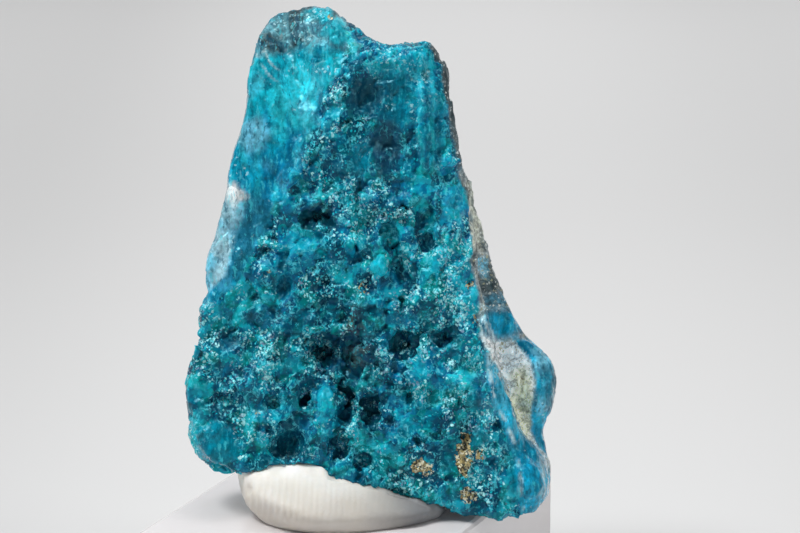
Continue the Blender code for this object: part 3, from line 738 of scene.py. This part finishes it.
class Nodes:
    """Short calls for building a material's nodes. Colours are given as three numbers."""

    def __init__(self, name):
        self.material = bpy.data.materials.new(name)
        self.material.use_nodes = True
        self.tree = self.material.node_tree
        self.shader = self.tree.nodes["Principled BSDF"]
        self.output = self.tree.nodes["Material Output"]
        place = self.add("TexCoord").outputs["Object"]
        self.place = self.scaled(place, 1.0 / MM)

    def link(self, source, target):
        if isinstance(source, bpy.types.NodeSocket):
            self.tree.links.new(source, target)
        else:
            target.default_value = source

    def set(self, **values):
        """Sets the shader's own sockets, named with _ for a space."""
        for name, value in values.items():
            self.link(value, self.shader.inputs[name.replace("_", " ")])

    def add(self, kind, **settings):
        node = self.tree.nodes.new("ShaderNode" + kind)
        for key, value in settings.items():
            setattr(node, key, value)
        return node

    def math(self, operation, first, second, third=None, clamp=False):
        node = self.add("Math", operation=operation, use_clamp=clamp)
        for socket, given in zip(node.inputs, (first, second) if third is None else (first, second, third)):
            self.link(given, socket)
        return node.outputs[0]

    def times(self, first, second, clamp=False):
        return self.math("MULTIPLY", first, second, clamp=clamp)

    def plus(self, total, *pairs):
        """total + value * factor, for each value and its factor in turn"""
        for value, factor in zip(pairs[::2], pairs[1::2]):
            total = self.math("MULTIPLY_ADD", value, factor, total)
        return total

    def around(self, value):
        """A number from 0 to 1 as a shift around zero."""
        return self.math("SUBTRACT", value, 0.5)

    def vector(self, operation, first, second):
        node = self.add("VectorMath", operation=operation)
        self.link(first, node.inputs[0])
        self.link(second, node.inputs[1])
        return node.outputs[0]

    def scaled(self, vector, scale):
        node = self.add("VectorMath", operation="SCALE")
        self.link(vector, node.inputs[0])
        self.link(scale, node.inputs["Scale"])
        return node.outputs[0]

    def centred(self, colour, scale):
        """A random colour as a shift around zero."""
        return self.scaled(self.vector("SUBTRACT", colour, (0.5, 0.5, 0.5)), scale)

    def mix(self, share, first, second):
        node = self.add("Mix", data_type="RGBA")
        self.link(share, node.inputs[0])
        for given, socket in ((first, node.inputs[6]), (second, node.inputs[7])):
            self.link((*given, 1.0) if isinstance(given, tuple) else given, socket)
        return node.outputs[2]

    def span(self, value, low, high, to_low=0.0, to_high=1.0):
        node = self.add("MapRange", interpolation_type="SMOOTHSTEP")
        for socket, given in zip(node.inputs, (value, low, high, to_low, to_high)):
            self.link(given, socket)
        return node.outputs[0]

    def attribute(self, name, output="Fac"):
        return self.add("Attribute", attribute_name=name).outputs[output]

    def texture(self, kind, vector, scale, **settings):
        node = self.add(kind, **settings)
        self.link(vector, node.inputs["Vector"])
        node.inputs["Scale"].default_value = scale
        return node

    def noise(self, vector, scale, detail, output="Fac"):
        node = self.texture("TexNoise", vector, scale)
        node.inputs["Detail"].default_value = detail
        return node.outputs[output]

    def cells(self, vector, scale):
        """Distance, random colour and its three numbers, for each cell."""
        node = self.texture("TexVoronoi", vector, scale)
        colour = node.outputs["Color"]
        return node.outputs["Distance"], colour, self.split("SeparateColor", colour)

    def cell_edges(self, vector, scale):
        """Distance to the nearest edge between cells."""
        return self.texture("TexVoronoi", vector, scale, feature="DISTANCE_TO_EDGE").outputs["Distance"]

    def split(self, kind, source):
        """The three numbers of a colour or a vector."""
        node = self.add(kind)
        self.link(source, node.inputs[0])
        return node.outputs

    def bump(self, height, distance, strength, normal=None):
        node = self.add("Bump")
        node.inputs["Strength"].default_value = strength
        node.inputs["Distance"].default_value = distance * MM
        self.link(height, node.inputs["Height"])
        if normal is not None:
            self.link(normal, node.inputs["Normal"])
        return node.outputs[0]


class StoneNodes(Nodes):
    """The nodes that the stone's colours share: stored values, cells and noises."""

    def __init__(self):
        super().__init__("chrysocolla_surface")
        place = self.place
        self.tint = self.attribute("tint", "Color")
        for name in ("tone", "glass", "rise", "frost", "ochre", "rock", "dark", "grit"):
            setattr(self, name, self.attribute(name))
        self.bent = self.vector("ADD", place, self.centred(self.noise(place, 1.1, 3.0, "Color"), 0.9))
        self.shaken = self.vector("ADD", place, self.centred(self.noise(place, 3.5, 2.0, "Color"), 0.35))
        _, self.grain_colour, self.grain = self.cells(self.shaken, 6.2)
        self.glint_distance, _, self.glint = self.cells(self.shaken, 4.3)
        upright = self.vector("MULTIPLY", self.shaken, (1.2, 1.0, 0.8))
        self.flake_distance, _, self.flake = self.cells(upright, 2.5)
        _, self.crumb_colour, self.crumb = self.cells(self.bent, 1.9)
        _, _, self.clot = self.cells(self.bent, 0.8)
        self.patch = self.around(self.noise(place, 0.45, 4.0))
        self.fine = self.around(self.noise(place, 3.0, 5.0))
        self.dot = self.span(self.glint_distance, 0.52, 0.22)
        self.level = self.light_level()
        self.granular = self.grain_share()

    def light_level(self):
        """How light the crust is, about 0 to 1, with painted light on its bumps and painted shade in its
        hollows and pits.
        """
        level = self.math("ADD", self.patch, 0.44)
        # Painted light and shade: lighter on bumps, darker in hollows and pits
        level = self.plus(level, self.rise, 0.12, self.tone, 0.62, self.dark, -0.16)
        level = self.plus(level, self.around(self.crumb[0]), 0.34, self.around(self.clot[0]), 0.30)
        return self.plus(level, self.fine, 0.45)

    def grain_share(self):
        """How grainy the crust is, 0 to 1."""
        granular = self.math("MULTIPLY_ADD", self.noise(self.place, 0.9, 3.0), 1.9, -1.22)
        granular = self.plus(granular, self.grit, 0.55, self.rise, 0.14, self.frost, 0.60, self.tone, 0.35)
        return self.math("MAXIMUM", granular, self.times(self.frost, 0.6), clamp=True)


def some_grains(n, chance, factor, low, high):
    """Picks grains by their random number, more of them where the crust is grainy."""
    return n.span(n.plus(chance, n.granular, factor), low, high)


def crust_base(n):
    """The tint turned bluer or greener from clot to clot, from shade to light."""
    hue = n.plus(n.times(n.clot[1], 0.55), n.crumb[2], 0.45)
    hued = n.mix(n.span(hue, 0.48, 0.30), n.tint, n.vector("MULTIPLY", n.tint, (1.0, 0.70, 0.96)))
    hued = n.mix(n.span(hue, 0.52, 0.70), hued, n.vector("MULTIPLY", n.tint, (1.0, 1.02, 0.74)))
    shade = n.mix(0.88, hued, CRUST_SHADE)
    light = n.mix(0.55, n.scaled(hued, 1.3), CRUST_LIGHT)
    crust = n.mix(n.span(n.level, 0.22, 0.60), shade, n.scaled(hued, 0.85))
    return n.mix(n.span(n.level, 0.58, 0.92), crust, light)


def crust(n):
    """The crust with its grains, flakes, veins, chipped edges and dark pools; pale bits partly painted glints,
    pools partly painted shade.
    """
    gap = n.span(n.glint_distance, 0.35, 0.60, 0.0, 0.45)
    crust = n.mix(n.times(gap, n.granular), crust_base(n), GRAIN_GAP)
    cyan = n.times(some_grains(n, n.glint[0], 0.60, 0.72, 0.96), n.dot)
    crust = n.mix(n.times(cyan, 0.80), crust, GRAIN_CYAN)
    # Pale and white grains: partly pale crystals, partly painted glints
    pale = n.times(some_grains(n, n.glint[1], 0.44, 0.95, 1.06), n.dot)
    crust = n.mix(n.times(pale, 0.82), crust, GRAIN_PALE)
    crust = n.mix(n.times(some_grains(n, n.grain[1], 0.30, 1.00, 1.06), 0.85), crust, GRAIN_WHITE)
    # White flakes, partly painted glints
    flat = n.span(n.plus(n.flake_distance, n.fine, 0.9), 0.46, 0.34)
    flat = n.times(flat, some_grains(n, n.flake[0], 0.26, 1.01, 1.05))
    flake_colour = n.mix(n.span(n.flake[1], 0.35, 0.65), FLAKE_CYAN, FLAKE_WHITE)
    crust = n.mix(n.times(flat, 0.75), crust, flake_colour)
    crust = n.mix(n.times(some_grains(n, n.grain[2], 0.24, 1.00, 1.06), 0.60), crust, GRAIN_LILAC)
    # Veins, partly painted glints along the shard edges
    vein = n.span(n.cell_edges(n.bent, 1.15), 0.10, 0.02)
    vein = n.times(vein, n.span(n.noise(n.place, 0.65, 4.0), 0.47, 0.62))
    vein = n.times(vein, n.span(n.grain[0], 0.30, 0.75))
    crust = n.mix(n.times(vein, 0.70), crust, VEIN_CYAN)
    upright = n.vector("MULTIPLY", n.shaken, (1.5, 1.0, 0.6))
    chip = n.span(n.cell_edges(upright, 1.5), 0.12, 0.03)
    chip = n.times(chip, n.span(n.noise(n.place, 1.3, 3.0), 0.48, 0.62))
    chip = n.times(chip, n.span(n.glint[2], 0.25, 0.60))
    crust = n.mix(n.times(chip, 0.75), crust, CHIP_CYAN)
    # Dark pools in the pits: partly the stone's deep blue, partly painted shade
    pool = n.times(n.dark, n.span(n.level, 0.65, 0.15, 0.15, 0.95), clamp=True)
    return n.mix(pool, crust, n.mix(n.crumb[1], POOL_BLUE, POOL_GREEN))


def glassy(n):
    """The glassy faces with their veils, wisps, cracks, upright fibres and snow."""
    veil = n.noise(n.vector("MULTIPLY", n.bent, (1.9, 0.5, 0.7)), 0.9, 5.0)
    colour = n.scaled(n.tint, n.span(veil, 0.3, 0.72, 0.60, 1.25))
    colour = n.scaled(colour, n.span(n.fine, -0.25, 0.25, 0.72, 1.28))
    colour = n.mix(n.span(n.clot[1], 0.70, 0.85, 0.0, 0.35), colour, GLASS_SHADE)
    colour = n.mix(n.span(n.noise(n.bent, 2.6, 6.0), 0.56, 0.76, 0.0, 0.28), colour, GLASS_WISP)
    crack = n.span(n.cell_edges(n.bent, 0.6), 0.050, 0.012)
    crack = n.times(crack, n.span(n.noise(n.place, 0.8, 3.0), 0.45, 0.58))
    crack = n.times(crack, n.times(n.frost, 1.4, clamp=True), clamp=True)
    colour = n.mix(crack, colour, GLASS_CRACK)
    fibre = n.noise(n.vector("MULTIPLY", n.shaken, (3.2, 1.6, 0.8)), 1.5, 5.0)
    colour = n.mix(n.span(fibre, 0.55, 0.70, 0.0, 0.60), colour, FIBRE_PALE)
    colour = n.mix(n.span(fibre, 0.47, 0.32, 0.0, 0.70), colour, FIBRE_DARK)
    snow = n.plus(n.grain[1], n.patch, 0.5, n.frost, 0.5)
    colour = n.mix(n.span(snow, 1.0, 1.1, 0.0, 0.6), colour, GLASS_SNOW)
    # Partly painted shade in the pits
    return n.mix(n.times(n.dark, 0.8, clamp=True), colour, GLASS_POOL)


def host_rock(n):
    """The host rock with dark specks and chalky grains."""
    colour = n.scaled(n.tint, n.span(n.crumb[2], 0.3, 0.9, 1.25, 0.85))
    colour = n.mix(n.times(n.span(n.grain[1], 0.62, 0.75), 0.45), colour, ROCK_SPECK)
    colour = n.scaled(colour, n.span(n.fine, -0.2, 0.2, 0.60, 1.45))
    chalk = n.times(n.span(n.glint[0], 0.70, 0.80), n.dot)
    return n.mix(n.times(chalk, 0.90), colour, ROCK_CHALK)


def with_gold(n, body):
    """The golden crumbs over the other colours."""
    level = n.plus(n.times(n.ochre, 0.80), n.glint[2], 0.30, n.grain[2], 0.35, n.fine, 0.8)
    gold = n.times(n.span(level, 0.78, 0.90), n.span(n.ochre, 0.05, 0.2))
    colour = n.mix(n.span(n.grain[0], 0.35, 0.65), GOLD_DARK, GOLD)
    colour = n.mix(n.span(n.grain[1], 0.70, 0.80), colour, GOLD_PALE)
    colour = n.mix(n.times(n.rock, 0.8), colour, GOLD_IN_ROCK)
    return n.mix(n.times(gold, 0.92), body, colour)


def tilted_normal(n):
    """The normal, tilted from grain to grain and crumb to crumb so that they glitter."""
    tilt_by = n.times(n.math("ADD", n.granular, 0.25), n.span(n.glass, 0.8, 0.3, 0.05, 0.75))
    facing = n.add("NewGeometry").outputs["Normal"]
    facing = n.vector("ADD", facing, n.centred(n.grain_colour, tilt_by))
    tilt_by = n.span(n.glass, 0.9, 0.5, 0.06, 0.50)
    facing = n.vector("ADD", facing, n.centred(n.crumb_colour, tilt_by))
    facing = n.vector("NORMALIZE", facing, (0.0, 0.0, 0.0))
    return n.bump(n.noise(n.place, 6.0, 5.0), 0.05, 0.5, facing)


def stone_material():
    """Crusty and glassy chrysocolla with pale grains, golden crumbs and host rock."""
    n = StoneNodes()
    body = n.mix(n.span(n.glass, 0.3, 0.75), crust(n), glassy(n))
    body = with_gold(n, n.mix(n.rock, body, host_rock(n)))
    gloss = n.plus(n.span(n.glass, 0.1, 0.7, 0.19, 0.10), n.rock, 0.35, n.around(n.crumb[0]), 0.16)
    n.set(
        Base_Color=body, Roughness=gloss, Normal=tilted_normal(n), IOR=1.45,
        Specular_Tint=(0.28, 0.85, 1.0, 1.0),
        Subsurface_Weight=0.12, Subsurface_Radius=(0.9, 1.0, 1.05), Subsurface_Scale=0.8 * MM,
    )
    return n.material


def putty_material():
    """Warm white putty, with painted shading lines along its pressed ridges, painted shade towards its foot
    and painted shade at its right end under the stone.
    """
    n = Nodes("white_putty")
    place = n.place
    axes = n.split("SeparateXYZ", place)
    colour = n.mix(n.span(n.noise(place, 0.35, 4.0), 0.35, 0.7), PUTTY_WARM, PUTTY_WHITE)
    # Painted shade: the putty darkens towards its foot, which faces down
    foot = n.plus(axes["Z"], n.noise(place, 0.5, 3.0), 1.2)
    colour = n.mix(n.span(foot, 15.2, 12.4, 0.0, 0.62), colour, PUTTY_FOOT_SHADE)
    # Painted shading lines along the pressed ridges
    colour = n.mix(n.times(n.attribute("ridges"), 0.22), colour, PUTTY_RIDGE_SHADE)
    # Painted shade: darker towards the right end, which lies under the stone's overhang
    shaded_right = n.plus(axes["X"], n.noise(place, 0.4, 3.0), 1.5)
    colour = n.mix(n.span(shaded_right, 0.8, 6.5, 0.0, 0.95), colour, PUTTY_UNDER_STONE_SHADE)
    colour = n.mix(n.span(n.noise(place, 2.4, 6.0), 0.60, 0.80, 0.0, 0.18), colour, PUTTY_SMEAR)
    n.set(
        Base_Color=colour, Roughness=n.span(n.noise(place, 1.3, 3.0), 0.3, 0.7, 0.48, 0.66),
        Normal=n.bump(n.noise(place, 5.0, 6.0), 0.03, 0.5),
        Subsurface_Weight=0.15, Subsurface_Radius=(1.0, 0.8, 0.6), Subsurface_Scale=0.6 * MM,
    )
    return n.material


def block_material():
    """Clear acrylic with a faint rosy tint, a little hazy, with the finest hairlines."""
    n = Nodes("rosy_acrylic")
    n.set(
        Base_Color=(*BLOCK_BASE, 1.0), Transmission_Weight=0.25, IOR=1.49,
        Roughness=n.span(n.noise(n.place, 0.6, 5.0), 0.45, 0.75, 0.16, 0.26),
        Normal=n.bump(n.noise(n.place, 1.5, 8.0), 0.01, 0.25),
    )
    absorb = n.add("VolumeAbsorption")
    absorb.inputs["Color"].default_value = (*BLOCK_ABSORPTION, 1.0)
    absorb.inputs["Density"].default_value = 3.0
    n.tree.links.new(absorb.outputs[0], n.output.inputs["Volume"])
    return n.material


def floor_material():
    """Pale paper with painted light and shade: a little lighter far behind the specimen and darker at the
    sides.
    """
    n = Nodes("pale_paper")
    axes = n.split("SeparateXYZ", n.place)
    clouds = n.around(n.noise(n.place, 0.03, 3.0))
    # Painted light: lighter far behind, with a faint cloudiness of the paper
    shade = n.math("MULTIPLY_ADD", clouds, 0.04, n.span(axes["Y"], 140.0, 340.0), clamp=True)
    # Painted shade: darker towards both sides
    sides = n.times(n.span(axes["X"], -4.0, -50.0, 1.0, 0.83), n.span(axes["X"], 20.0, 70.0, 1.0, 0.91))
    colour = n.scaled(n.mix(shade, FLOOR_NEAR, FLOOR_FAR), sides)
    n.set(Base_Color=colour, Normal=n.bump(n.noise(n.place, 0.8, 4.0), 0.02, 0.2), Roughness=0.9)
    return n.material


def make_floor():
    """A pale sheet under the block."""
    mesh = bpy.data.meshes.new("sheet")
    sides = [(-1, -1), (1, -1), (1, 1), (-1, 1)]
    corners = [(x * FLOOR_REACH, y * FLOOR_REACH, -FLOOR_GAP * MM) for x, y in sides]
    mesh.from_pydata(corners, [], [(0, 1, 2, 3)])
    mesh.materials.append(floor_material())
    floor = scene_object("sheet", mesh)


def make_camera():
    """The camera at the photograph's angle, in front of the stone and a little above it."""
    right = Vector((1.0, 0.0, 0.0))
    up = Vector((0.0, math.sin(LEAN), math.cos(LEAN)))
    ahead = Vector((0.0, math.cos(LEAN), -math.sin(LEAN)))
    target = FOOT + right * VIEW_MIDDLE[0] + up * VIEW_MIDDLE[1]
    place = (target - ahead * DISTANCE) * MM
    data = bpy.data.cameras.new("camera")
    data.sensor_width = SENSOR
    data.lens = SENSOR * FOCAL_PIXELS / VIEW_WIDTH
    data.clip_start = 0.01
    data.clip_end = 20.0
    camera = scene_object("camera", data)
    turn = Matrix((right, up, -ahead)).transposed().to_4x4()
    camera.matrix_world = Matrix.Translation(place) @ turn
    bpy.context.scene.camera = camera


def make_light():
    """Plain studio light: soft lights around the specimen and an even surround."""
    world = bpy.data.worlds.new("surround")
    bpy.context.scene.world = world
    world.use_nodes = True
    background = world.node_tree.nodes["Background"]
    background.inputs["Color"].default_value = (*SURROUND, 1.0)
    background.inputs["Strength"].default_value = SURROUND_POWER
    for name, place, size, power, aim in LIGHTS:
        data = bpy.data.lights.new(name, "AREA")
        data.shape = "RECTANGLE"
        data.size, data.size_y = size
        data.energy = power
        light = scene_object(name, data)
        light.location = place
        light.rotation_euler = (Vector(aim) - Vector(place)).to_track_quat("-Z", "Y").to_euler()
    bpy.context.scene.view_settings.view_transform = "Standard"


def main():
    """Loads the frame, dresses it, and stages it."""
    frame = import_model()
    make_camera()
    make_light()
    make_floor()
    nodes = frame["nodes"]
    stone_node, putty_node = nodes["chrysocolla_stone"], nodes["display_putty"]
    stone = smooth_piece(stone_mesh(stone_node), stone_material())
    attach(stone, "root")
    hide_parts("chrysocolla_stone")
    putty = smooth_piece(putty_mesh(putty_node, stone_node), putty_material())
    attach(putty, "root")
    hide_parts("display_putty")
    nodes["acrylic_block"].material_slots[0].material = block_material()


main()
